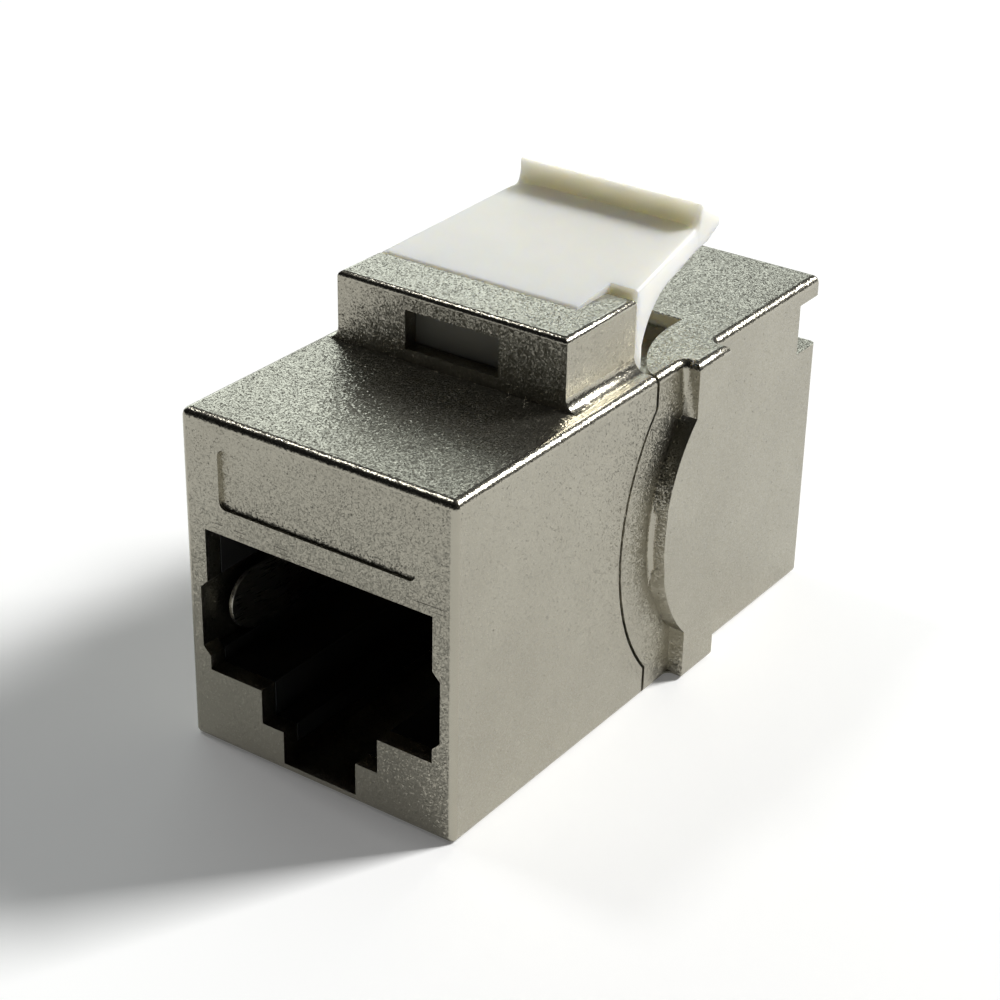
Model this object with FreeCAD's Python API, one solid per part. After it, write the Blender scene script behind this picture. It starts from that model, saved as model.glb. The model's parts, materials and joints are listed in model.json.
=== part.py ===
import FreeCAD, Part
import math
import os

# Shielded in-line keystone coupler: a die-cast metal body of two half shells that meet
# on a curved, nesting seam, with an eight-wire modular plug port at each end, a white
# moulded latch seated in a hollow block on top, and a board between the two ports.
#
# Frame, in millimetres: origin at the centre of the part's footprint, +Z up, +X to the
# right seen from the front port, which faces -Y. The front port's tab slot is at the bottom.

V = FreeCAD.Vector

# ---------------------------------------------------------------- body
body_width = 14.5             # a keystone opening is 14.5 wide
body_height = 16.3
body_length = 29.55
front_wall = 0.9              # the walls that the two port openings go through
side_wall = 0.65
floor_wall = 1.0
roof_wall = 2.0               # thick enough for the latch pocket
corner_radius = 0.3           # upright edges of the two ends
edge_radius = 0.4             # edges of the top
bottom_radius = 0.25
seam_from_front = 14.73
seam_gap = 0.1
seam_tongue_reach = 2.48      # how far the rear half's side tongue nests into the front half
seam_tongue_height = 13.3
tongue_centre_height = 8.1

# sunk label field above the front port, left bare
label_side_margin = 2.025
label_height = 2.85
label_below_top = 1.4
label_depth = 0.2
label_corner_radius = 0.35

# ---------------------------------------------------------------- port opening
port_side_wall = 1.15         # metal beside the opening
port_head_wall = 5.5          # metal above it
relief_depth = 0.4            # side pockets for the grounding springs
relief_bottom = 4.6
relief_top = 8.0
shelf_height = 3.7            # floor beside the tab channel
channel_width = 6.4
channel_floor = 2.0
slot_width = 4.0              # lowest step, for the plug's tab
slot_floor = 0.38

# ---------------------------------------------------------------- side rib of the rear half
rib_rise = 0.8
rib_band = 2.7
rib_behind_seam = 2.3         # front of the rib's straight ends
rib_reach = 2.34              # how far its middle bends forwards from there
rib_root_radius = 0.3

# ---------------------------------------------------------------- slot under the rear top edge
rear_slot_depth = 1.92
rear_slot_height = 2.55
rear_slot_roof = 1.0          # metal above the slot

# ---------------------------------------------------------------- latch block and pocket
block_left_step = 1.0         # body's top to the left of the block
block_right_step = 1.25
block_height = 3.35           # above the body
block_behind_front = 9.4
block_wall = 0.75
block_edge_radius = 0.28
block_root_radius = 0.65
block_rim = 1.4               # metal to the right of the opening in the block's top
block_sill = 1.5              # left wall below the block's top, under the latch's wing
block_lip_depth = 2.8         # strip of metal in front of that opening
window_width = 5.0
window_height = 1.85
window_above_body = 0.6
pocket_depth = 1.3            # below the body's top
pocket_side_step = 1.25       # pocket's rear end inside the block's sides
pocket_length = 5.65
pocket_flare_radius = 7.3
pocket_flare_start = 0.5      # from the pocket's rear end
pocket_rear_radius = 0.55

# ---------------------------------------------------------------- latch
latch_clearance = 0.15
latch_web = 1.05
latch_stand = 0.02            # front edge of the plate above the block
latch_slope = 6.0             # degrees
latch_lip_width = 10.0
latch_side_inset = 0.12       # widest part of the plate inside the block's sides
latch_lip_behind_seam = 6.72
latch_lip_height = 1.16
latch_lip_lean = 0.1
latch_lip_reach = 1.9
latch_lip_drop = 1.1          # fall of the lip's top towards the rear
latch_leg_gap = 0.28
latch_leg_foot = 0.6
latch_leg_bottom = 0.4        # leg's foot below the body's top
latch_edge_radius = 0.2

# ---------------------------------------------------------------- inner parts
fit_gap = 0.05
carrier_roof = 1.2
carrier_back_wall = 1.2
board_thickness = 1.0
board_gap = 1.03              # between a carrier's back and the board, for the wires' roots
board_post_radius = 0.9
contact_count = 8
contact_pitch = 1.016
contact_width = 0.45
contact_thickness = 0.25
contact_bend_radius = 0.45
contact_bend_depth = 4.2      # from the port's face to the front of the bend
contact_tip_gap = 1.1         # tip in front of the port's back wall
contact_tip_drop = 2.0        # tip below the port's roof
contact_root_gap = 0.1
comb_rib_width = 0.4
comb_depth = 2.2
comb_drop = 2.0
spring_thickness = 0.2
spring_height = 3.0
spring_front_depth = 1.25
spring_crest_depth = 4.3
spring_root_gap = 1.4         # root in front of the port's back wall
spring_flat = 2.0
spring_bend_radius = 4.0
spring_crest_reach = 0.45     # how far the crest stands into the port
spring_tip_reach = 0.15

# ---------------------------------------------------------------- values that follow
front_y = -body_length / 2
rear_y = front_y + body_length
seam_y = front_y + seam_from_front
half_width = body_width / 2
cavity_half_width = half_width - side_wall
port_width = body_width - 2 * port_side_wall
port_top = body_height - port_head_wall
label_width = body_width - 2 * label_side_margin
label_bottom = body_height - label_below_top - label_height
rear_slot_bottom = body_height - rear_slot_roof - rear_slot_height
cavity_low_roof = port_top + carrier_roof + 7 * fit_gap
cavity_high_roof = body_height - roof_wall
cavity_high_inset = rear_slot_depth + front_wall
pocket_floor = body_height - pocket_depth
block_front_y = front_y + block_behind_front
block_top = body_height + block_height
block_left = block_left_step - half_width
block_right = half_width - block_right_step
mouth_front_y = block_front_y + block_lip_depth
mouth_right = block_right - block_rim
sill_top = block_top - block_sill
pocket_half = block_right - pocket_side_step
port_half = port_width / 2
port_middle_height = (relief_bottom + relief_top) / 2
reach_out = 5.0               # how far cutting tools run past the body


def block_between(x_low, x_high, y_low, y_high, z_low, z_high):
    """Rectangular solid between two corners."""
    return Part.makeBox(x_high - x_low, y_high - y_low, z_high - z_low, V(x_low, y_low, z_low))


def centred_block(width, y_low, y_high, z_low, z_high):
    """Rectangular solid that is symmetric about the middle plane."""
    return block_between(-width / 2, width / 2, y_low, y_high, z_low, z_high)


def extrude_x(wire, width):
    """Side outline, drawn in the plane X = 0, as a solid centred on that plane."""
    face = Part.Face(wire)
    face.translate(V(-width / 2, 0, 0))
    return face.extrude(V(width, 0, 0))


def side_polygon(points):
    """Closed wire in the plane X = 0 from (y, z) points."""
    corners = [V(0, y, z) for y, z in points]
    return Part.makePolygon(corners + corners[:1])


def arc_through(first, middle, last):
    """Edge of the arc through three points."""
    return Part.Arc(first, middle, last).toShape()


def line(first, last):
    return Part.LineSegment(first, last).toShape()


def edges_where(shape, test):
    """Edges whose every sampled point passes the test."""
    chosen = []
    for edge in shape.Edges:
        first, last = edge.ParameterRange
        points = [edge.valueAt(first + (last - first) * share) for share in (0, 0.5, 1)]
        if all(test(point) for point in points):
            chosen.append(edge)
    return chosen


def near(value, target):
    return abs(value - target) < 1e-4


def bulged_edges(straight_y, reach, centre_height, arc_height):
    """Upright line, seen from the side, whose middle is an arc that bulges forwards."""
    foot = V(0, straight_y, -reach_out)
    arc_low = V(0, straight_y, centre_height - arc_height / 2)
    arc_middle = V(0, straight_y - reach, centre_height)
    arc_high = V(0, straight_y, centre_height + arc_height / 2)
    head = V(0, straight_y, body_height + block_height + reach_out)
    return foot, head, [line(foot, arc_low), arc_through(arc_low, arc_middle, arc_high), line(arc_high, head)]


def behind_seam(offset):
    """Everything behind the seam surface, set back by the offset."""
    foot, head, edges = bulged_edges(seam_y + offset, seam_tongue_reach,
                                     tongue_centre_height, seam_tongue_height)
    far_head = V(0, rear_y + reach_out, head.z)
    far_foot = V(0, rear_y + reach_out, foot.z)
    wire = Part.Wire(edges + [line(head, far_head), line(far_head, far_foot), line(far_foot, foot)])
    return extrude_x(wire, body_width + 2 * reach_out)


def side_arc_height(radius, reach):
    """Height of an arc of the given radius that bulges by the given reach."""
    return 2 * math.sqrt(radius ** 2 - (radius - reach) ** 2)


def side_ribs():
    """Curved ribs on both sides, concentric with the seam's tongue."""
    seam_radius = (seam_tongue_height ** 2 / 4 + seam_tongue_reach ** 2) / (2 * seam_tongue_reach)
    centre_y = seam_y - seam_tongue_reach + seam_radius
    front_radius = centre_y - (seam_y + rib_behind_seam - rib_reach)
    rear_radius = front_radius - rib_band
    foot_front, head_front, front_edges = bulged_edges(
        seam_y + rib_behind_seam, rib_reach, tongue_centre_height, side_arc_height(front_radius, rib_reach))
    foot_rear, head_rear, rear_edges = bulged_edges(
        seam_y + rib_behind_seam + rib_band, rib_reach, tongue_centre_height,
        side_arc_height(rear_radius, rib_reach))
    wire = Part.Wire(front_edges + [line(head_front, head_rear)] + rear_edges[::-1]
                     + [line(foot_rear, foot_front)])
    band = extrude_x(wire, body_width + 2 * rib_rise)
    return band.common(centred_block(body_width + 2 * rib_rise, front_y, rear_y, 0, body_height))


def outer_body(with_ribs):
    """Outside of both halves in one, before the block; the ribs belong to the rear half."""
    body = centred_block(body_width, front_y, rear_y, 0, body_height)

    def at_end(point):
        return near(point.y, front_y) or near(point.y, rear_y)

    def on_side(point):
        return near(abs(point.x), half_width)

    def beside_rib(point):
        return on_side(point) and seam_y - seam_tongue_reach < point.y < rear_y - corner_radius

    upright = edges_where(body, lambda p: at_end(p) and on_side(p))
    body = body.makeFillet(corner_radius, upright)
    if with_ribs:
        body = body.fuse(side_ribs()).removeSplitter()
        roots = [edge for edge in edges_where(body, beside_rib) if edge.BoundBox.YLength < 1.2 * rib_band]
        body = body.makeFillet(rib_root_radius, roots)
    body = body.makeFillet(edge_radius, edges_where(body, lambda p: near(p.z, body_height)))
    return body.makeFillet(bottom_radius, edges_where(body, lambda p: near(p.z, 0)))


def latch_block():
    """Hollow block's outside, with rounded outer edges."""
    foot = body_height - floor_wall
    block = block_between(block_left, block_right, block_front_y, seam_y, foot, block_top)
    rounded = edges_where(block, lambda p: near(p.z, block_top))
    rounded += edges_where(block, lambda p: near(p.y, block_front_y) and p.z > foot + 1e-4)
    return block.makeFillet(block_edge_radius, rounded)


def port_profile(y_low, y_high):
    """Stepped plug opening with the tab slot at the bottom."""
    shape = centred_block(port_width, y_low, y_high, shelf_height, port_top)
    shape = shape.fuse(relief_prism(y_low, y_high))
    shape = shape.fuse(centred_block(channel_width, y_low, y_high, channel_floor, port_top))
    shape = shape.fuse(centred_block(slot_width, y_low, y_high, slot_floor, port_top))
    return shape.removeSplitter()


def relief_prism(y_low, y_high):
    """Shallow side pockets, with sloped ends, across the whole opening."""
    outer = port_half + relief_depth
    slope = relief_depth / 2
    right = [(port_half, relief_bottom - slope), (outer, relief_bottom + slope),
             (outer, relief_top - slope), (port_half, relief_top + slope)]
    corners = [V(x, y_low, z) for x, z in right] + [V(-x, y_low, z) for x, z in right[::-1]]
    return Part.Face(Part.makePolygon(corners + corners[:1])).extrude(V(0, y_high - y_low, 0))


def inner_cavity():
    """Space inside both halves for the carriers, the contacts and the board."""
    low = centred_block(2 * cavity_half_width, front_y + front_wall, rear_y - front_wall,
                        floor_wall, cavity_low_roof)
    high = centred_block(2 * cavity_half_width, front_y + cavity_high_inset, rear_y - cavity_high_inset,
                         cavity_low_roof - fit_gap, cavity_high_roof)
    tab_channel = centred_block(slot_width, front_y + front_wall, rear_y - front_wall,
                                slot_floor, floor_wall + fit_gap)
    return low.fuse([high, tab_channel]).removeSplitter()


def pocket_tool():
    """Pocket in the rear half's top, flared towards the seam, that the latch's leg dips into."""
    rear = seam_y + pocket_length
    tangent_y = rear - pocket_flare_start
    run = tangent_y - (seam_y - seam_gap)
    wide = pocket_half + pocket_flare_radius - math.sqrt(pocket_flare_radius ** 2 - run ** 2)
    middle_run = run / 2
    middle = pocket_half + pocket_flare_radius - math.sqrt(pocket_flare_radius ** 2 - middle_run ** 2)
    front = seam_y - seam_gap

    def flare(side):
        return arc_through(V(side * wide, front, pocket_floor),
                           V(side * middle, tangent_y - middle_run, pocket_floor),
                           V(side * pocket_half, tangent_y, pocket_floor))

    corner_right = V(pocket_half, rear, pocket_floor)
    corner_left = V(-pocket_half, rear, pocket_floor)
    wire = Part.Wire([flare(1), line(V(pocket_half, tangent_y, pocket_floor), corner_right),
                      line(corner_right, corner_left),
                      line(corner_left, V(-pocket_half, tangent_y, pocket_floor)), flare(-1),
                      line(V(-wide, front, pocket_floor), V(wide, front, pocket_floor))])
    return Part.Face(wire).extrude(V(0, 0, reach_out))


def label_tool():
    """Shallow field with rounded corners above the front port."""
    field = centred_block(label_width, front_y - reach_out, front_y + label_depth,
                          label_bottom, label_bottom + label_height)
    corners = edges_where(field, lambda p: near(abs(p.x), label_width / 2) and (
        near(p.z, label_bottom) or near(p.z, label_bottom + label_height)))
    return field.makeFillet(label_corner_radius, corners)


def block_root(side):
    """Concave blend between the body's top and one side of the block."""
    wall = block_right if side > 0 else block_left
    outside = wall + side * block_root_radius
    top = body_height + block_root_radius
    middle = block_root_radius * (1 - math.sqrt(0.5))
    sunk = body_height - floor_wall
    foot = V(outside, block_front_y, body_height)
    head = V(wall, block_front_y, top)
    blend = arc_through(foot, V(wall + side * middle, block_front_y, body_height + middle), head)
    inside = V(wall - side * block_wall / 2, block_front_y, top)
    low_inside = V(inside.x, block_front_y, sunk)
    low_outside = V(outside, block_front_y, sunk)
    wire = Part.Wire([blend, line(head, inside), line(inside, low_inside),
                      line(low_inside, low_outside), line(low_outside, foot)])
    return Part.Face(wire).extrude(V(0, seam_y - block_front_y, 0))


def front_shell():
    shell = outer_body(False).cut(behind_seam(0))
    shell = shell.fuse([latch_block(), block_root(-1), block_root(1)]).removeSplitter()
    hollow = block_between(block_left + block_wall, block_right - block_wall, block_front_y + block_wall,
                           seam_y + reach_out, pocket_floor, block_top - block_wall)
    mouth = block_between(block_left - reach_out, mouth_right, mouth_front_y, seam_y + reach_out,
                          sill_top, block_top + reach_out)
    window_low = body_height + window_above_body
    window = centred_block(window_width, block_front_y - reach_out, block_front_y + 2 * block_wall,
                           window_low, window_low + window_height)
    opening = port_profile(front_y - reach_out, front_y + 2 * front_wall)
    return shell.cut([inner_cavity(), hollow, mouth, window, opening, label_tool()])


def rear_shell():
    shell = outer_body(True).common(behind_seam(seam_gap))
    slot = centred_block(body_width + 2 * reach_out, rear_y - rear_slot_depth, rear_y + reach_out,
                         rear_slot_bottom, rear_slot_bottom + rear_slot_height)
    opening = port_profile(rear_y - 2 * front_wall, rear_y + reach_out)
    shell = shell.cut([inner_cavity(), pocket_tool(), slot, opening])
    pocket_rear = edges_where(shell, lambda p: near(p.y, seam_y + pocket_length) and near(p.z, body_height))
    return shell.makeFillet(pocket_rear_radius, pocket_rear)


def latch_plan(plate_front, lip_y, lip_rear):
    """Outline of the plate from above: widest beside the block, tapering to the finger lip."""
    lip = latch_lip_width / 2
    wing_left = block_left + latch_side_inset
    wing_right = block_right - latch_side_inset
    beside = mouth_right - latch_clearance
    leg_front = seam_y + latch_leg_gap
    corners = [V(wing_left, plate_front, 0), V(beside, plate_front, 0), V(beside, leg_front, 0),
               V(wing_right, leg_front, 0), V(lip, lip_y, 0), V(lip, lip_rear, 0), V(-lip, lip_rear, 0),
               V(-lip, lip_y, 0)]
    return Part.Face(Part.makePolygon(corners + corners[:1])).extrude(V(0, 0, block_top + reach_out))


def panel_latch():
    """One moulding: a nose in the block, a plate through its mouth, a leg and a finger lip."""
    foot = pocket_floor + latch_clearance / 2
    nose_front = block_front_y + block_wall + latch_clearance / 3
    nose_top = block_top - block_wall - 2 * latch_clearance
    plate_front = mouth_front_y + latch_clearance
    front_top = block_top + latch_stand
    slope = math.tan(math.radians(latch_slope))
    lip_y = seam_y + latch_lip_behind_seam

    def top_at(y):
        return front_top + (y - plate_front) * slope

    nose = extrude_x(side_polygon([
        (nose_front, foot), (nose_front, nose_top), (plate_front + latch_web, nose_top),
        (plate_front + latch_web, nose_top - latch_web), (nose_front + latch_web, nose_top - latch_web),
        (nose_front + latch_web, foot)]), body_width)
    inside = block_wall + latch_clearance
    nose = nose.common(block_between(block_left + inside, block_right - inside, front_y, seam_y, 0, block_top))
    neck = extrude_x(side_polygon([
        (plate_front, nose_top - latch_web), (plate_front, top_at(plate_front) - latch_web / 2),
        (plate_front + latch_web, top_at(plate_front) - latch_web / 2),
        (plate_front + latch_web, nose_top - latch_web)]), 2 * (mouth_right - latch_clearance))
    leg_front = seam_y + latch_leg_gap
    leg_rear = leg_front + latch_leg_foot
    leg_low = body_height - latch_leg_bottom
    lip_foot = V(0, lip_y, top_at(lip_y))
    lip_top = V(0, lip_y + latch_lip_lean, top_at(lip_y) + latch_lip_height)
    lip_rear = V(0, lip_top.y + latch_lip_reach, lip_top.z - latch_lip_drop)
    lip_under = V(0, lip_rear.y - 0.05, lip_rear.z - 0.3)
    under_rear = V(0, lip_y + 0.8, top_at(lip_y) - 0.85 * latch_web)
    under_front = V(0, leg_rear + 2.4, top_at(leg_rear) - 0.85 * latch_web)
    under_middle = V(0, leg_rear + 0.72, top_at(leg_rear) - 1.75 * latch_web)
    leg_top = V(0, leg_rear, body_height + 0.8)
    leg_foot = [V(0, leg_rear, leg_low), V(0, leg_front, leg_low)]
    under_mouth = [V(0, y, top_at(y) - latch_web) for y in (leg_front, plate_front)]
    edges = [arc_through(under_front, under_middle, leg_top)]
    outline = [leg_top] + leg_foot + under_mouth + [V(0, plate_front, front_top), lip_foot, lip_top,
                                                    lip_rear, lip_under, under_rear, under_front]
    edges += [line(first, last) for first, last in zip(outline, outline[1:])]
    plate = extrude_x(Part.Wire(edges), body_width).common(latch_plan(plate_front, lip_y, lip_rear.y))

    def on_outline(edge):
        middle = edge.CenterOfMass
        beside_mouth = middle.x > 0 and middle.y < leg_front + 1e-4
        return not near(middle.x, 0) and not beside_mouth

    upper = edges_where(plate, lambda p: p.z > top_at(p.y) - latch_web / 2)
    plate = plate.makeFillet(latch_edge_radius, [edge for edge in upper if on_outline(edge)])
    return plate.fuse([neck, nose]).removeSplitter()


def place_in_port(shape, at_rear):
    """Move a piece drawn with its port's face at Y = 0 and its depth along +Y to its port."""
    if at_rear:
        shape = shape.mirror(V(0, 0, 0), V(0, 1, 0))
        shape.translate(V(0, rear_y, 0))
    else:
        shape = shape.copy()
        shape.translate(V(0, front_y, 0))
    return shape


def half_depth(at_rear):
    """Distance from the port's face to the board's face."""
    depth = body_length - seam_from_front if at_rear else seam_from_front
    return depth - board_thickness / 2


def contact_positions():
    first = -(contact_count - 1) / 2 * contact_pitch
    return [first + index * contact_pitch for index in range(contact_count)]


def port_depth(at_rear):
    """From the port's face to the carrier's back wall."""
    return half_depth(at_rear) - board_gap - carrier_back_wall


contact_leg_height = port_top + carrier_roof + fit_gap + contact_thickness / 2


def carrier(at_rear):
    """Black plug guide with the comb that keeps the contact wires apart."""
    width = 2 * (cavity_half_width - fit_gap)
    front = front_wall + fit_gap
    depth = port_depth(at_rear)
    back = depth + carrier_back_wall
    body = centred_block(width, front, back, floor_wall + fit_gap, port_top + carrier_roof)
    body = body.cut(port_profile(-reach_out, depth))
    relief = centred_block(width + 2 * reach_out, 0, depth - spring_root_gap + spring_flat / 2,
                           relief_bottom - relief_depth / 2, relief_top + relief_depth / 2)
    window_width_all = contact_count * contact_pitch + comb_rib_width
    window = centred_block(window_width_all, contact_bend_depth - 2 * fit_gap - contact_bend_radius,
                           depth, port_top - contact_thickness, port_top + 2 * carrier_roof)
    body = body.cut([relief, window])
    comb_front = depth - comb_depth
    bar_top = contact_leg_height + 2 * contact_thickness
    bar = centred_block(window_width_all, depth - fit_gap, back, port_top, bar_top)
    ribs = []
    for index in range(contact_count + 1):
        x = (index - contact_count / 2) * contact_pitch
        ribs.append(block_between(x - comb_rib_width / 2, x + comb_rib_width / 2, comb_front,
                                  depth + fit_gap, port_top - comb_drop, port_top + carrier_roof))
    slots = []
    for x in contact_positions():
        half = (contact_pitch - comb_rib_width) / 2
        slots.append(block_between(x - half, x + half, depth - 2 * fit_gap, back + fit_gap,
                                   port_top + carrier_roof, bar_top + fit_gap))
    body = body.fuse([bar] + ribs).cut(slots)
    posts = [Part.makeCylinder(board_post_radius, half_depth(at_rear) - back + fit_gap,
                               V(x, back - fit_gap, z), V(0, 1, 0))
             for x in (-port_half + board_post_radius, port_half - board_post_radius)
             for z in (shelf_height, port_top - board_post_radius)]
    body = body.fuse(posts).removeSplitter()
    return place_in_port(body, at_rear)


def offset_side(points, directions, turns, distance, radius):
    """Edges of one side of a bent strip: straight runs joined by arcs about the bends' centres."""
    edges = []
    start = points[0] + normal_of(directions[0]) * distance
    for index, corner in enumerate(points[1:-1]):
        before = directions[index]
        after = directions[index + 1]
        half_turn = before.getAngle(after) / 2
        setback = radius * math.tan(half_turn)
        centre = corner - before * setback + normal_of(before) * (turns[index] * radius)
        reach = radius - turns[index] * distance
        middle = (corner - centre).normalize()
        enter = centre - normal_of(before) * (turns[index] * reach)
        leave = centre - normal_of(after) * (turns[index] * reach)
        edges.append(line(start, enter))
        edges.append(arc_through(enter, centre + middle * reach, leave))
        start = leave
    edges.append(line(start, points[-1] + normal_of(directions[-1]) * distance))
    return edges


def normal_of(direction):
    """Left-hand normal in the plane Z = 0."""
    return V(-direction.y, direction.x, 0)


def bent_strip(points, radius, thickness, width):
    """Flat strip of constant thickness, bent in the plane Z = 0 and as wide as given along Z."""
    directions = [(after - before).normalize() for before, after in zip(points, points[1:])]
    turns = [math.copysign(1, before.cross(after).z) for before, after in zip(directions, directions[1:])]
    left = offset_side(points, directions, turns, thickness / 2, radius)
    right = offset_side(points, directions, turns, -thickness / 2, radius)
    ends = [line(left[-1].lastVertex().Point, right[-1].lastVertex().Point),
            line(left[0].firstVertex().Point, right[0].firstVertex().Point)]
    wire = Part.Wire(Part.__sortEdges__(left + right + ends))
    strip = Part.Face(wire).extrude(V(0, 0, width))
    strip.translate(V(0, 0, -width / 2))
    return strip


def contact(x, at_rear):
    """Spring wire: a leg over the carrier, a bend at the front and a limb down into the port."""
    root = half_depth(at_rear) - contact_root_gap
    turn_low = contact_leg_height - 2.6 * contact_bend_radius
    tip = port_depth(at_rear) - contact_tip_gap
    path = [V(root, contact_leg_height, 0), V(contact_bend_depth, contact_leg_height, 0),
            V(contact_bend_depth, turn_low, 0), V(tip, port_top - contact_tip_drop, 0)]
    wire = bent_strip(path, contact_bend_radius, contact_thickness, contact_width)
    wire.rotate(V(0, 0, 0), V(1, 0, 0), 90)
    wire.rotate(V(0, 0, 0), V(0, 0, 1), 90)
    wire.translate(V(x, 0, 0))
    return place_in_port(wire, at_rear)


def ground_spring(side, at_rear):
    """Sheet tongue with a round front end that bows from the side wall into the port."""
    wall = cavity_half_width - fit_gap - spring_thickness / 2
    root = port_depth(at_rear) - spring_root_gap
    path = [V(side * wall, root, 0), V(side * wall, root - spring_flat, 0),
            V(side * (port_half - spring_crest_reach), spring_crest_depth, 0),
            V(side * (port_half - spring_tip_reach), spring_front_depth, 0)]
    strip = bent_strip(path, spring_bend_radius, spring_thickness, spring_height)
    strip.translate(V(0, 0, port_middle_height))
    round_end = Part.makeCylinder(spring_height / 2, body_width,
                                  V(-body_width / 2, spring_front_depth + spring_height / 2,
                                    port_middle_height), V(1, 0, 0))
    rest = centred_block(body_width, spring_front_depth + spring_height / 2, body_length,
                         port_middle_height - spring_height, port_middle_height + spring_height)
    return place_in_port(strip.common(round_end.fuse(rest)), at_rear)


def circuit_board():
    """Upright board between the two carriers, which its plated edge holds on their posts."""
    return centred_block(2 * (cavity_half_width - fit_gap), seam_y - board_thickness / 2,
                         seam_y + board_thickness / 2, floor_wall + fit_gap, cavity_high_roof - fit_gap)


def build():
    nodes = {
        "front_shell": front_shell(),
        "rear_shell": rear_shell(),
        "panel_latch": panel_latch(),
        "circuit_board": circuit_board(),
    }
    for end in ("front", "rear"):
        at_rear = end == "rear"
        nodes[f"{end}_carrier"] = carrier(at_rear)
        for number, x in enumerate(contact_positions(), start=1):
            nodes[f"{end}_contact_{number}"] = contact(x, at_rear)
        nodes[f"{end}_ground_spring_left"] = ground_spring(-1, at_rear)
        nodes[f"{end}_ground_spring_right"] = ground_spring(1, at_rear)
    return nodes


os.makedirs("parts", exist_ok=True)
for name, shape in build().items():
    solids = shape.Solids
    if len(solids) != 1 or not shape.isValid():
        raise RuntimeError(f"{name}: {len(solids)} solids, valid {shape.isValid()}")
    solids[0].exportStep(f"parts/{name}.step")
    print(f"{name}: {solids[0].Volume:.2f} mm3, {len(solids[0].Faces)} faces")
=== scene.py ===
# %% [markdown]
# # A shielded keystone coupler, dressed in Blender
#
# The object is a small in-line coupler that clicks into a network panel. Two nickel-plated
# die castings meet on a curved seam, a white moulded latch sits in a block on top, and each
# end has a port with a black plug guide, eight gold-plated wires and two grounding springs.
#
# The solids come from CAD at their real size and are loaded first. Everything below either
# gives a solid its finish or replaces it with a piece of the same size and finer edges.

# %% Load the solids
import json
import math

import bmesh
import bpy
from mathutils import Matrix, Vector

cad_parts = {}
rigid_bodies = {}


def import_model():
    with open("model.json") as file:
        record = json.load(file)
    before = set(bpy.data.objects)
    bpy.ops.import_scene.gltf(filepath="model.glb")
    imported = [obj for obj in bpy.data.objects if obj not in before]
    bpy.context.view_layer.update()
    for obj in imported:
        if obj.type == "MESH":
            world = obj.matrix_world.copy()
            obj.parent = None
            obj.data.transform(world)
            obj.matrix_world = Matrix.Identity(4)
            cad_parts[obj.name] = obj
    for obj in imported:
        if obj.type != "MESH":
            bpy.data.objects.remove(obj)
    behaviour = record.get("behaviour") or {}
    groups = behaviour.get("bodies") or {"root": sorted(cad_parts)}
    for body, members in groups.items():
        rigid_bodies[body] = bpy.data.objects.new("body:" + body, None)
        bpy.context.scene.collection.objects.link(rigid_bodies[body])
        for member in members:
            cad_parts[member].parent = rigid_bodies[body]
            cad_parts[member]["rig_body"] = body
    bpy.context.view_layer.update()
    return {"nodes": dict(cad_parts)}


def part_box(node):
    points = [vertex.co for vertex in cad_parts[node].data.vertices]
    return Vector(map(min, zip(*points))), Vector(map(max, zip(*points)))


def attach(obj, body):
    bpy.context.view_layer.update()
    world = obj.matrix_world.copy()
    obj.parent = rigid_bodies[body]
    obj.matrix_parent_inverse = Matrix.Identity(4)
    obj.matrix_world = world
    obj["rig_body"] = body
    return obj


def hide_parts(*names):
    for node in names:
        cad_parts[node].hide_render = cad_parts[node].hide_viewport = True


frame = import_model()
nodes = frame["nodes"]
MM = 0.001

# %% [markdown]
# Every finish is a node tree, so a few short helpers keep the trees readable. One starts a
# material, one adds a node and joins or sets its inputs, one writes a sum and one mixes two
# colours. The alternative is to click the nodes together by hand, but then no size or tone
# could be changed in one place.

# %% Node helpers
def new_finish(name):
    """An empty material and its tree."""
    finish = bpy.data.materials.new(name)
    finish.use_nodes = True
    finish.node_tree.nodes.clear()
    return finish, finish.node_tree


def add(tree, kind, inputs=None, **settings):
    """A node with its settings, and its inputs by name or number: a value or a socket to join."""
    node = tree.nodes.new(kind)
    for key, value in settings.items():
        setattr(node, key, value)
    for key, value in (inputs or {}).items():
        if isinstance(value, bpy.types.NodeSocket):
            tree.links.new(value, node.inputs[key])
        else:
            node.inputs[key].default_value = value
    return node


def maths(tree, operation, *values):
    """A sum on numbers or sockets, such as MULTIPLY or LESS_THAN."""
    return add(tree, "ShaderNodeMath", dict(enumerate(values)), operation=operation).outputs[0]


def blend(tree, share, first, second):
    """The first colour at a share of 0, the second at 1; a colour is three numbers or a socket."""
    first, second = (tone if isinstance(tone, bpy.types.NodeSocket) else (*tone, 1)
                     for tone in (first, second))
    node = add(tree, "ShaderNodeMix", data_type="RGBA")
    tree.links.new(share, node.inputs["Factor"])
    for number, tone in ((6, first), (7, second)):
        if isinstance(tone, bpy.types.NodeSocket):
            tree.links.new(tone, node.inputs[number])
        else:
            node.inputs[number].default_value = tone
    return node.outputs[2]


def finish_output(tree, shader):
    """Join a shader to the material's output."""
    add(tree, "ShaderNodeOutputMaterial", {"Surface": shader.outputs[0]})


# %% [markdown]
# Patterns read Object coordinates in millimetres, so a scale of 9 means nine features to a
# millimetre and can be compared with the real grain. The solids and the new pieces all sit
# at the origin, so a pattern runs on from one piece to the next and moves with its body.

# %% Pattern helpers
def millimetres(tree, stretch=(1, 1, 1)):
    """Object coordinates in millimetres, optionally scaled along an axis."""
    place = add(tree, "ShaderNodeTexCoord")
    return add(tree, "ShaderNodeMapping", {
        "Vector": place.outputs["Object"],
        "Scale": [1000 * value for value in stretch]}).outputs["Vector"]


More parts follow.
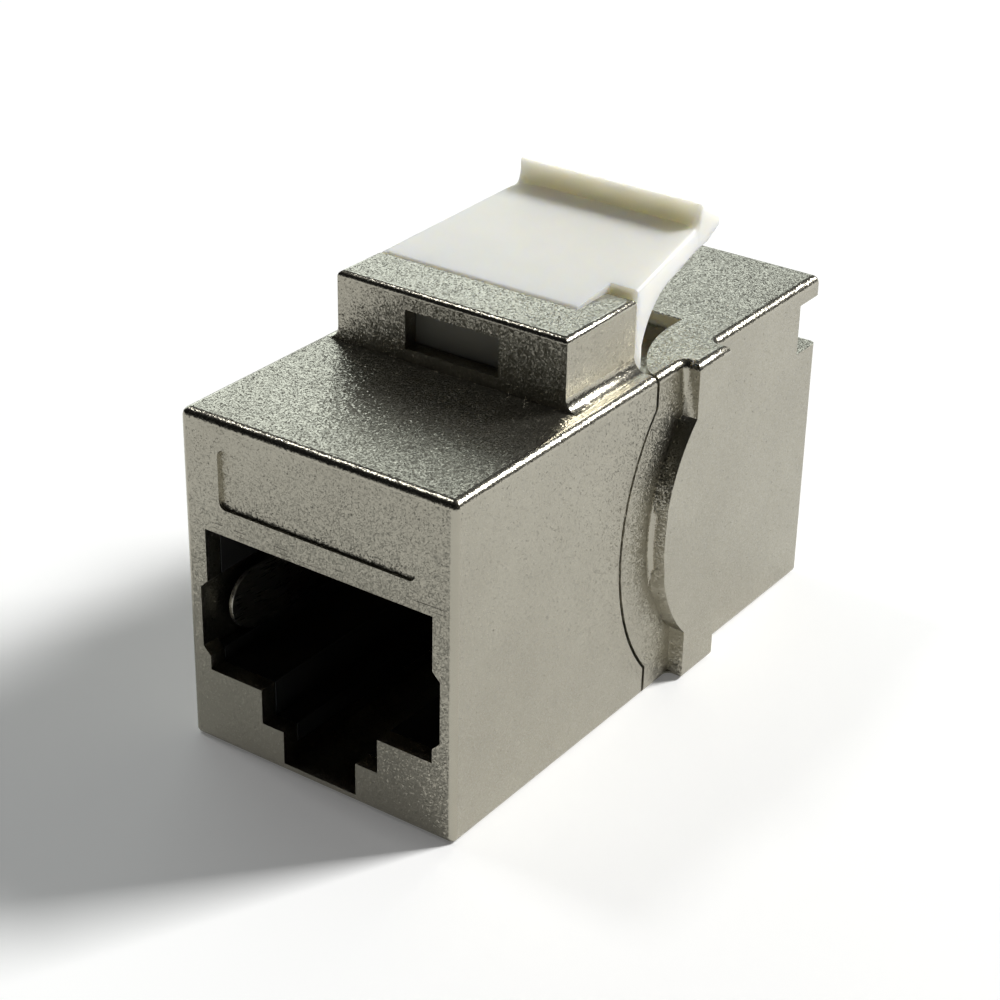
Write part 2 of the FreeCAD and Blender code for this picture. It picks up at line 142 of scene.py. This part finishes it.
def noise(tree, place, scale, detail=2.0, roughness=0.5):
    """Grey noise with so many features to a millimetre."""
    return add(tree, "ShaderNodeTexNoise", {
        "Vector": place, "Scale": scale, "Detail": detail, "Roughness": roughness}).outputs["Fac"]


def ramp(tree, source, stops):
    """A colour ramp over (place, grey or colour) stops."""
    node = add(tree, "ShaderNodeValToRGB", {"Fac": source})
    elements = node.color_ramp.elements
    while len(elements) < len(stops):
        elements.new(0.5)
    for element, (place, tone) in zip(elements, stops):
        element.position = place
        element.color = (tone, tone, tone, 1) if isinstance(tone, (int, float)) else (*tone, 1)
    return node.outputs["Color"]


def bumps(tree, height, depth, strength):
    """Shading relief of a depth in millimetres."""
    return add(tree, "ShaderNodeBump", {
        "Height": height, "Distance": depth * MM, "Strength": strength}).outputs["Normal"]


# %% [markdown]
# ## Plated casting
#
# The two half shells are zinc, cast in a steel die with a fine matt grain, such as spark
# erosion leaves, and then nickel plated. The grains are well under a tenth of a millimetre
# across and the plating rounds them, so the metal is satin with tiny glints.
#
# A noise bump alone looks like leather, because neighbouring slopes flow into each other.
# Here Voronoi cells each lean the surface by a random amount, as crystals do. Most lean
# alike and a few lean more, which are the ones that glint. A soft noise bump joins the cells.
# The lean is set for the main view. From straight above many more cells catch the small
# lamp, and the metal glitters there more than a real casting would.

# %% Grain
def grained_normal(tree, place, grain, lean):
    """The surface normal of a cast grain; lean scales how far the grains tip."""
    grains_to_mm, least_tip, more_tip = 17.0, 0.24, 0.55
    cells = add(tree, "ShaderNodeTexVoronoi", {"Vector": place, "Scale": grains_to_mm})
    centred = add(tree, "ShaderNodeVectorMath", {0: cells.outputs["Color"], 1: (0.5, 0.5, 0.5)},
                  operation="SUBTRACT").outputs[0]
    square = add(tree, "ShaderNodeVectorMath", {0: centred, 1: centred},
                 operation="DOT_PRODUCT").outputs["Value"]
    amount = maths(tree, "MULTIPLY", maths(tree, "MULTIPLY_ADD", square, more_tip, least_tip), lean)
    tip = add(tree, "ShaderNodeVectorMath", {0: centred, "Scale": amount}, operation="SCALE")
    soft = bumps(tree, grain, 0.01, 0.5)
    tipped = add(tree, "ShaderNodeVectorMath", {0: soft, 1: tip.outputs[0]}, operation="ADD")
    return add(tree, "ShaderNodeVectorMath", {0: tipped.outputs[0]},
               operation="NORMALIZE").outputs[0]


# %% [markdown]
# Just above the port two hair-thin lines cross the front face, as if something hard was
# drawn over the plating. They are too shallow to be worth modelling. Each is a thin band of
# dark tint at one height, which a slow noise bends a little and a second noise breaks up.

# %% Scratches
def scratched(tree, place, tint, height, half_width):
    """The tint with a broken dark line across the front face; both sizes in millimetres."""
    front_face, wander = -14.7, 0.25
    axes = add(tree, "ShaderNodeSeparateXYZ", {0: place}).outputs
    bend = noise(tree, place, 0.3, 4.0, 0.6)
    level = maths(tree, "MULTIPLY_ADD", bend, wander, height - wander / 2)
    line = maths(tree, "COMPARE", maths(tree, "SUBTRACT", axes["Z"], level), 0.0, half_width)
    ahead = maths(tree, "LESS_THAN", axes["Y"], front_face)
    broken = ramp(tree, noise(tree, place, 0.9, 1.0), [(0.44, 0.0), (0.52, 0.8)])
    there = maths(tree, "MULTIPLY", maths(tree, "MULTIPLY", line, ahead), broken)
    return blend(tree, there, tint, (0.05, 0.045, 0.04))


# %% [markdown]
# The finish puts these together. A large, slow noise makes the nickel's warm grey wander a
# little, and the grain changes the gloss. Handling and tumbling rub the grain off the edges,
# so these are smoother and shine in a clean line. The bevelled copies further down carry an
# attribute, `worn`, that is 1 along their rounded edges, and the finish reads it.

# %% Plated casting
def plated_casting():
    """Nickel over a cast grain, smoother where the piece is worn."""
    finish, tree = new_finish("plated_casting")
    place = millimetres(tree)
    clouds = noise(tree, place, 0.25, 3.0, 0.6)
    grain = noise(tree, place, 9.0, 3.0, 0.65)
    worn = add(tree, "ShaderNodeAttribute", attribute_name="worn").outputs["Fac"]
    tint = ramp(tree, clouds, [(0.3, (0.365, 0.345, 0.285)), (0.7, (0.40, 0.38, 0.315))])
    for height, half_width in ((11.25, 0.02), (11.0, 0.013)):
        tint = scratched(tree, place, tint, height, half_width)
    gloss = maths(tree, "SUBTRACT", ramp(tree, grain, [(0.3, 0.27), (0.7, 0.35)]),
                  ramp(tree, worn, [(0.0, 0.0), (1.0, 0.09)]))
    lean = ramp(tree, worn, [(0.0, 1.0), (1.0, 0.4)])
    finish_output(tree, add(tree, "ShaderNodeBsdfPrincipled", {
        "Base Color": tint, "Metallic": 1.0, "Roughness": gloss,
        "Normal": grained_normal(tree, place, grain, lean)}))
    return finish


casting = plated_casting()
print(casting.name, len(casting.node_tree.nodes), "nodes")

# %% [markdown]
# ## Mouldings
#
# The plug guides are black mouldings, the board has a green coat and the latch is a warm
# white moulding. All of them show a soft, very fine texture and a slow change of gloss, so
# one function makes the three from two close tones, a gloss and the size of the texture.

# %% Mouldings
def moulding(name, dark, light, gloss, texture):
    """A moulded surface between two close tones, with so many bumps to a millimetre."""
    finish, tree = new_finish(name)
    place = millimetres(tree)
    clouds = noise(tree, place, 0.35)
    finish_output(tree, add(tree, "ShaderNodeBsdfPrincipled", {
        "Base Color": ramp(tree, clouds, [(0.3, dark), (0.7, light)]),
        "Roughness": ramp(tree, clouds, [(0.3, gloss), (0.7, gloss + 0.08)]),
        "Normal": bumps(tree, noise(tree, place, texture, 4.0, 0.6), 0.01, 0.25)}))
    print(name, len(tree.nodes), "nodes")
    return finish


black_moulding = moulding("black_moulding", (0.012, 0.012, 0.012), (0.022, 0.021, 0.020),
                          0.45, 8.0)
board_coat = moulding("board_coat", (0.012, 0.075, 0.03), (0.02, 0.11, 0.045), 0.3, 3.0)

# %% [markdown]
# The latch is about a millimetre thick and light goes into it, which is why its shadows are
# soft and warm. Subsurface scattering gives that, with a reach of a millimetre or so. The
# latch's nose stands behind the window of the block, in the dark, and there the scattered
# light of the plate above would make it glow. So shade is painted onto the nose: its colour
# turns a darker grey where it is low down and at the very front of the latch.

# %% Latch moulding
white_moulding = moulding("white_moulding", (0.80, 0.79, 0.73), (0.83, 0.82, 0.765), 0.42, 6.0)
tree = white_moulding.node_tree
plastic = next(node for node in tree.nodes if node.type == "BSDF_PRINCIPLED").inputs
# Painted shade: low down at the front, the nose's colour turns a darker grey, standing in for the
# shade of the block.
nose_top, nose_end, nose_painted_shade = 19.4, -4.0, (0.30, 0.29, 0.25)
axes = add(tree, "ShaderNodeSeparateXYZ", {0: millimetres(tree)}).outputs
nose_shade_mask = maths(tree, "MULTIPLY", maths(tree, "LESS_THAN", axes["Z"], nose_top),
             maths(tree, "LESS_THAN", axes["Y"], nose_end))
plate_tone = plastic["Base Color"].links[0].from_socket
tree.links.new(blend(tree, nose_shade_mask, plate_tone, nose_painted_shade), plastic["Base Color"])
plastic["Subsurface Weight"].default_value = 1.0
plastic["Subsurface Radius"].default_value = (1.0, 0.9, 0.65)
plastic["Subsurface Scale"].default_value = 1.6 * MM

# %% [markdown]
# ## Plated wire and strip
#
# The wires are gold over nickel and the grounding springs are nickel-plated strip. Drawing
# and rolling leave fine lines along the metal. The wires and strips all run along Y, so a
# noise that is stretched in Y gives the lines.

# %% Plated wire and strip
def drawn_metal(name, dark, light, gloss):
    """Plated wire or strip with fine lines along Y, the way it was drawn."""
    finish, tree = new_finish(name)
    lines = noise(tree, millimetres(tree, (1, 0.04, 1)), 14.0, 3.0)
    finish_output(tree, add(tree, "ShaderNodeBsdfPrincipled", {
        "Base Color": ramp(tree, lines, [(0.3, dark), (0.7, light)]), "Metallic": 1.0,
        "Roughness": ramp(tree, lines, [(0.3, gloss), (0.7, gloss + 0.12)]),
        "Normal": bumps(tree, lines, 0.004, 0.2)}))
    print(name, len(tree.nodes), "nodes")
    return finish


gold_wire = drawn_metal("gold_wire", (0.80, 0.56, 0.22), (0.94, 0.70, 0.32), 0.18)
spring_strip = drawn_metal("spring_strip", (0.40, 0.38, 0.33), (0.50, 0.48, 0.42), 0.25)

# %% [markdown]
# ## Softer edges
#
# Nothing here has a knife edge: a casting's die wears and its plating builds up on corners,
# and a moulding shrinks away from its mould. The solids carry the large fillets, and a copy
# of each gets a small bevel wherever two faces still meet sharply.
#
# The copy is merged first, because a loaded solid is loose triangles, and flat neighbours
# are joined so that the bevel meets clean edges. The normals that came with the solid are
# dropped, since they describe the old edges.

# %% Merged copy
def merged_copy(node, name, reshape=None):
    """A solid's mesh, merged and with flat neighbours joined, as a new object."""
    mesh = nodes[node].data.copy()
    mesh.name = name
    work = bmesh.new()
    work.from_mesh(mesh)
    bmesh.ops.remove_doubles(work, verts=work.verts, dist=0.002 * MM)
    if reshape:
        reshape(work)
    bmesh.ops.dissolve_limit(work, angle_limit=math.radians(0.5), verts=work.verts,
                             edges=work.edges)
    work.to_mesh(mesh)
    work.free()
    for layer in [layer.name for layer in mesh.attributes if "normal" in layer.name]:
        mesh.attributes.remove(mesh.attributes[layer])
    piece = bpy.data.objects.new(name, mesh)
    bpy.context.scene.collection.objects.link(piece)
    return piece


def baked(piece, finish):
    """The piece with its modifiers turned into plain mesh and its finish set."""
    graph = bpy.context.evaluated_depsgraph_get()
    result = bpy.data.meshes.new_from_object(piece.evaluated_get(graph), depsgraph=graph,
                                             preserve_all_data_layers=True)
    piece.modifiers.clear()
    piece.data = result
    result.materials.clear()
    result.materials.append(finish)
    return piece


# %% [markdown]
# The casting's finish needs to know where an edge is. After the bevel every rounded edge is
# a run of narrow faces, so the vertices that only touch narrow faces lie on an edge. They get
# a 1 and the rest a 0, and Blender blends between them across the outermost narrow face.

# %% Worn edges
def mark_worn(mesh):
    """Write the worn attribute and return how many vertices lie on a rounded edge."""
    narrowest_flat = 0.2 * MM
    flat = set()
    for face in mesh.polygons:
        longest = max((mesh.vertices[a].co - mesh.vertices[b].co).length for a, b in face.edge_keys)
        if face.area > narrowest_flat * longest:
            flat.update(face.vertices)
    layer = mesh.attributes.new("worn", "FLOAT", "POINT")
    for vertex in mesh.vertices:
        layer.data[vertex.index].value = 0.0 if vertex.index in flat else 1.0
    return len(mesh.vertices) - len(flat)


# %% [markdown]
# Then the copy is bevelled. Weighted Normal lets the large flat faces decide the shading
# along their borders, which keeps them flat to the eye. The result takes the solid's place,
# on the same body, so it moves with the same joint.

# %% Softened copy
def softened(node, name, width, finish, reshape=None):
    """A copy of a solid with its sharp edges bevelled by a width in millimetres."""
    piece = merged_copy(node, name, reshape)
    piece.data.shade_smooth()
    bevel = piece.modifiers.new("edges", "BEVEL")
    bevel.width = width * MM
    bevel.segments = 2
    bevel.limit_method = "ANGLE"
    bevel.angle_limit = math.radians(28)
    bevel.use_clamp_overlap = True
    bevel.miter_outer = "MITER_ARC"
    shading = piece.modifiers.new("shading", "WEIGHTED_NORMAL")
    shading.mode = "FACE_AREA"
    shading.weight = 100
    baked(piece, finish)
    worn = mark_worn(piece.data)
    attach(piece, nodes[node]["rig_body"])
    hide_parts(node)
    print(name, len(piece.data.polygons), "faces,", worn, "vertices on rounded edges")
    return piece


# %% [markdown]
# ## The lines of the rear shell
#
# Two lines on the rear shell are sharper to the eye than the solid's own. The curved side
# rib meets the wall in a crisp dark corner, where the solid has the small fillet that a
# mould needs, and the joint between the shells reads as a line about 0.2 mm wide.
#
# The rib's front is a straight line with a round bulge. Its shape is measured from the
# solid and not typed in, so that the two agree: two points where the arc meets the straight
# line, and how far it bulges, give the arc's centre and radius. The heights between which
# the rib is looked for are typed in, and fit a part of this size only.

# %% Rib outline
def rib_outline(work):
    """The rib's front from the side: straight y, then the arc's centre, radius and half height."""
    outer = max(vertex.co.x for vertex in work.verts) - 0.01 * MM
    crest = [vertex.co for vertex in work.verts if vertex.co.x > outer]
    straight = min(point.y for point in crest if point.z < 1 * MM)
    bulge = min(point.y for point in crest)
    ends = [point.z for point in crest
            if abs(point.y - straight) < 0.005 * MM and point.z > 1 * MM]
    low, high = min(ends), max(z for z in ends if z < 15 * MM)
    half, reach = (high - low) / 2, straight - bulge
    radius = (half ** 2 + reach ** 2) / (2 * reach)
    print("rib arc:", round(radius / MM, 3), "mm radius,", round(half / MM, 3), "mm half height")
    return straight, bulge + radius, (low + high) / 2, radius, half


# %% [markdown]
# The vertices of the fillet are then moved onto the corner that it rounds off, the line
# where the rib's front would meet the wall. The shell's front edge moves back by a tenth of
# a millimetre. Moving vertices keeps the faces joined better than cutting them would. It
# isn't perfect: at the four ends of the two arcs a sliver far thinner than a hair stays open.

# %% Cast lines
side_x, seam_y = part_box("front_shell")[1][:2]


def cast_lines(work):
    """A crisp corner at the foot of the side ribs, and a slightly wider seam."""
    seam_step, near, fillet = 0.10 * MM, 0.005 * MM, 0.30 * MM
    rib_low, rib_high = 0.25 * MM, 15.9 * MM
    straight, centre_y, centre_z, radius, half = rib_outline(work)
    for vertex in work.verts:
        x, y, z = vertex.co
        if y < seam_y + seam_step + near:
            vertex.co.y += seam_step
            continue
        beside = side_x - near < abs(x) < side_x + fillet + near
        if not beside or not rib_low <= z <= rib_high:
            continue
        away = math.hypot(y - centre_y, z - centre_z)
        before_line, before_arc = straight - y, away - radius
        if not -near < min(before_line, before_arc) < fillet + 4 * near:
            continue
        if abs(before_line - before_arc) < 4 * near:
            y, z = straight, centre_z + math.copysign(half, z - centre_z)
        elif before_line < before_arc:
            y = straight
        else:
            y = centre_y + (y - centre_y) * radius / away
            z = centre_z + (z - centre_z) * radius / away
        vertex.co = (math.copysign(side_x, x), y, z)
    bmesh.ops.remove_doubles(work, verts=work.verts, dist=0.01 * MM)
    bmesh.ops.dissolve_degenerate(work, edges=work.edges, dist=0.002 * MM)


# %% [markdown]
# Each kind of piece has its own width of edge: the white latch's edges are the softest, the
# castings' and the plug guides' come next, and the stamped springs' are the finest.

# %% Softened pieces
edges = [("front_shell", 0.07, casting), ("rear_shell", 0.07, casting),
         ("panel_latch", 0.14, white_moulding),
         ("front_carrier", 0.06, black_moulding), ("rear_carrier", 0.06, black_moulding)]
edges += [(f"{end}_ground_spring_{side}", 0.04, spring_strip)
          for end in ("front", "rear") for side in ("left", "right")]
for node, width, finish in edges:
    softened(node, node + "_skin", width, finish, cast_lines if node == "rear_shell" else None)

# %% [markdown]
# ## Contact wires
#
# Each port has eight flat wires at the pitch of a modular plug. A wire leaves the board,
# runs outwards over the guide's roof, turns down at the comb and slopes back into the plug
# space. Real ones are usually stamped from one strip and bent together, which is why they
# repeat exactly. Modelling eight by hand would lose that, so one node group takes a bent
# path, rounds its bends, gives it the strip's section and repeats it at the pitch.

# %% Wire row group
def wire_row_group():
    """Geometry Nodes: a bent path becomes a row of equal strips along X."""
    group = bpy.data.node_groups.new("wire_row", "GeometryNodeTree")
    for name, kind in (("Path", "NodeSocketGeometry"), ("Wires", "NodeSocketInt"),
                       ("Pitch", "NodeSocketFloat"), ("Bend radius", "NodeSocketFloat"),
                       ("Width", "NodeSocketFloat"), ("Thickness", "NodeSocketFloat"),
                       ("Finish", "NodeSocketMaterial")):
        group.interface.new_socket(name, in_out="INPUT", socket_type=kind)
    group.interface.new_socket("Row", in_out="OUTPUT", socket_type="NodeSocketGeometry")
    given = add(group, "NodeGroupInput").outputs
    path = add(group, "GeometryNodeMeshToCurve", {"Mesh": given["Path"]})
    rounded = add(group, "GeometryNodeFilletCurve", {
        "Curve": path.outputs["Curve"], "Radius": given["Bend radius"], "Limit Radius": True,
        "Count": 6}, mode="POLY")
    section = add(group, "GeometryNodeCurvePrimitiveQuadrilateral", {
        "Width": given["Width"], "Height": given["Thickness"]})
    soft_section = add(group, "GeometryNodeFilletCurve", {
        "Curve": section.outputs["Curve"],
        "Radius": maths(group, "MULTIPLY", given["Thickness"], 0.25), "Count": 2}, mode="POLY")
    strip = add(group, "GeometryNodeCurveToMesh", {
        "Curve": rounded.outputs["Curve"], "Profile Curve": soft_section.outputs["Curve"],
        "Fill Caps": True})
    step = add(group, "ShaderNodeCombineXYZ", {"X": given["Pitch"]})
    places = add(group, "GeometryNodeMeshLine", {
        "Count": given["Wires"], "Offset": step.outputs[0]})
    row = add(group, "GeometryNodeInstanceOnPoints", {
        "Points": places.outputs["Mesh"], "Instance": strip.outputs["Mesh"]})
    real = add(group, "GeometryNodeRealizeInstances", {"Geometry": row.outputs["Instances"]})
    finished = add(group, "GeometryNodeSetMaterial", {
        "Geometry": real.outputs["Geometry"], "Material": given["Finish"]})
    add(group, "NodeGroupOutput", {"Row": finished.outputs["Geometry"]})
    return group


wire_row = wire_row_group()
print(wire_row.name, len(wire_row.nodes), "nodes")

# %% [markdown]
# The path is measured from the first solid of a row: where its leg leaves the board, where
# it turns, and where its tip ends. The width and the pitch come from the solids too, so only
# the strip's thickness and its bend are written here. The piece moves as one with its row.

# %% Both rows
def socket_value(modifier, name, value):
    """Set a modifier's input by the name of its socket."""
    for item in modifier.node_group.interface.items_tree:
        if item.item_type == "SOCKET" and item.in_out == "INPUT" and item.name == name:
            modifier[item.identifier] = value


def contact_path(end, solid, thickness, drop):
    """The centre line of one wire: board, bend, end of the turn, tip."""
    low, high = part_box(solid)
    x, leg = (low[0] + high[0]) / 2, high[2] - thickness / 2
    root, bend = high[1], low[1] + thickness / 2
    if end == "rear":
        root, bend = low[1], high[1] - thickness / 2
    foot = [v.co for v in nodes[solid].data.vertices if v.co.z < low[2] + thickness]
    tip = sum(foot, Vector()) / len(foot)
    path = bpy.data.meshes.new(end + "_path")
    path.from_pydata([(x, root, leg), (x, bend, leg), (x, bend, leg - drop), (x, tip.y, tip.z)],
                     [(0, 1), (1, 2), (2, 3)], [])
    return path


def contact_row(end):
    """One end's wires as one piece, in place of the eight solids."""
    names = [f"{end}_contact_{number}" for number in range(1, 9)]
    thickness, radius = 0.25 * MM, 0.45 * MM
    low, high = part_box(names[0])
    path = contact_path(end, names[0], thickness, 2.6 * radius)
    piece = bpy.data.objects.new(end + "_wires", path)
    bpy.context.scene.collection.objects.link(piece)
    rows = piece.modifiers.new("wires", "NODES")
    rows.node_group = wire_row
    for name, value in (("Wires", len(names)), ("Pitch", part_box(names[1])[0][0] - low[0]),
                        ("Bend radius", radius), ("Width", high[0] - low[0]),
                        ("Thickness", thickness), ("Finish", gold_wire)):
        socket_value(rows, name, value)
    baked(piece, gold_wire)
    piece.data.shade_flat()
    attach(piece, nodes[names[0]]["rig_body"])
    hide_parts(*names)
    print(piece.name, len(piece.data.polygons), "faces,",
          [round(1000 * value, 2) for value in piece.dimensions], "mm")


contact_row("front")
contact_row("rear")

# %% [markdown]
# The board keeps its own solid: it stands deep between the two ports and hardly shows.

# %% Board
board = nodes["circuit_board"].data
board.materials.clear()
board.materials.append(board_coat)
print("circuit_board carries", board.materials[0].name)

# %% [markdown]
# ## Studio
#
# Satin metal shows the room more than itself, so the room is part of the finish. The coupler
# stands on white paper in a dark room. One broad screen glows softly at the back on the
# left, up to a level border. The flat top of the casting mirrors it: bright on the left, and
# dark to the right and close to the block, where it mirrors the bare wall and the block
# itself. Just above the floor the room is darker still, which draws a thin dark line along
# rounded edges.
#
# The room is set for the main view. From behind, the top mirrors the dark side of the room
# and looks nearly black, and from low down a strip of dark wall shows above the paper.
#
# A fully modelled room could do the same, but a few smooth patches of light are easier to
# read and to move. Each patch is a lobe: full near a direction, and fading with the angle.

# %% Room
def lobe(tree, direction, axis, full, gone):
    """1 near an axis, falling smoothly to 0 away from it; both limits are cosines."""
    along = add(tree, "ShaderNodeVectorMath", {0: direction, 1: Vector(axis).normalized()},
                operation="DOT_PRODUCT")
    return smooth(tree, along.outputs["Value"], gone, full)


def smooth(tree, value, low, high):
    """0 at the low limit and 1 at the high one, eased at both."""
    return add(tree, "ShaderNodeMapRange", {"Value": value, "From Min": low, "From Max": high},
               interpolation_type="SMOOTHSTEP").outputs["Result"]


world = bpy.data.worlds.new("studio")
bpy.context.scene.world = world
world.use_nodes = True
sky = world.node_tree
sky.nodes.clear()
direction = add(sky, "ShaderNodeTexCoord").outputs["Generated"]
height = add(sky, "ShaderNodeSeparateXYZ", {0: direction}).outputs["Z"]
back_wall = lobe(sky, direction, (0, 1, 0.2), 0.75, -0.25)
room = blend(sky, back_wall, (0.012, 0.012, 0.012), (0.08, 0.08, 0.08))
screen = maths(sky, "MULTIPLY", lobe(sky, direction, (-0.74, 0.58, 0.30), 0.97, 0.80),
               smooth(sky, height, 0.53, 0.39))
room = blend(sky, screen, room, (2.8, 3.05, 3.0))
room = blend(sky, smooth(sky, height, 0.05, 0.28), (0.02, 0.02, 0.02), room)
add(sky, "ShaderNodeOutputWorld", {
    "Surface": add(sky, "ShaderNodeBackground", {"Color": room}).outputs[0]})
print(world.name, len(sky.nodes), "nodes")

# %% [markdown]
# The paper is plain, pale and matt, and it takes the coupler's shadow. A small glow brings
# the lit paper up to white. It shows to the eye and in what mirrors the floor, so the metal
# shows the same white paper, and it adds nothing to the light on matt pieces.

# %% Floor
floor_mesh = bpy.data.meshes.new("floor")
reach, paper_glow = 3.0, 0.10
floor_mesh.from_pydata([(-reach, -reach, 0), (reach, -reach, 0),
                        (reach, reach, 0), (-reach, reach, 0)], [], [(0, 1, 2, 3)])
floor = bpy.data.objects.new("floor", floor_mesh)
bpy.context.scene.collection.objects.link(floor)
floor.location.z = -0.02 * MM
paper, tree = new_finish("white_paper")
seen = add(tree, "ShaderNodeLightPath").outputs
shown = maths(tree, "MAXIMUM", maths(tree, "MAXIMUM", seen["Is Camera Ray"], seen["Is Glossy Ray"]),
              seen["Is Transmission Ray"])
finish_output(tree, add(tree, "ShaderNodeBsdfPrincipled", {
    "Base Color": (0.93, 0.93, 0.92, 1), "Roughness": 0.9, "Specular IOR Level": 0.0,
    "Emission Color": (1, 1, 1, 1),
    "Emission Strength": maths(tree, "MULTIPLY", shown, paper_glow)}))
floor_mesh.materials.append(paper)
print(floor.name, "is", 2 * reach, "m across")

# %% [markdown]
# Two lamps light the scene. The main one stands behind on the right and is fairly small, so
# the shadow falls to the front left with a soft border and rounded edges catch a thin bright
# line. The weak one hangs over the left, so that this side isn't left in the dark.

# %% Lamps
def soft_lamp(name, direction, distance, size, radiance):
    """A square soft light, as bright as given to the eye, that looks at the coupler."""
    lamp = bpy.data.lights.new(name, "AREA")
    lamp.size = size
    lamp.energy = radiance * math.pi * size * size
    stand = bpy.data.objects.new(name, lamp)
    stand.location = Vector(direction).normalized() * distance
    stand.rotation_euler = (-stand.location).to_track_quat("-Z", "Y").to_euler()
    bpy.context.scene.collection.objects.link(stand)
    print(name, round(lamp.energy, 2), "W")
    return stand


soft_lamp("back_right", (0.42, 0.62, 0.60), 1.2, 0.27, 78.0)
soft_lamp("over_left", (-0.5, 0.0, 0.86), 1.2, 0.16, 22.0)

# %% [markdown]
# The camera looks down on the port's corner from the front right, with a long lens, as for a
# catalogue picture of a small part. Its axes are built from three angles: the azimuth around
# the coupler, the elevation above the floor and a slight roll.

# %% Camera
view = bpy.data.cameras.new("view")
view.sensor_width = 36
view.lens = 84.745
view.clip_start = 0.005
view.clip_end = 10
azimuth, elevation, roll = (math.radians(value) for value in (34.9059, 27.91937, 1.15034))
back = Vector((math.sin(azimuth) * math.cos(elevation), -math.cos(azimuth) * math.cos(elevation),
               math.sin(elevation)))
side = Vector((0, 0, 1)).cross(back).normalized()
up = back.cross(side)
right = side * math.cos(roll) + up * math.sin(roll)
top = up * math.cos(roll) - side * math.sin(roll)
camera = bpy.data.objects.new("camera", view)
camera.matrix_world = Matrix((right, top, back)).transposed().to_4x4()
camera.location = Vector((54.895, -80.125, 59.378)) * MM
bpy.context.scene.collection.objects.link(camera)
bpy.context.scene.camera = camera
print("camera", round(camera.location.length * 1000, 1), "mm from the origin")

# %% [markdown]
# The plain Standard transform shows each colour as it is written.

# %% Finish
bpy.context.scene.view_settings.view_transform = "Standard"
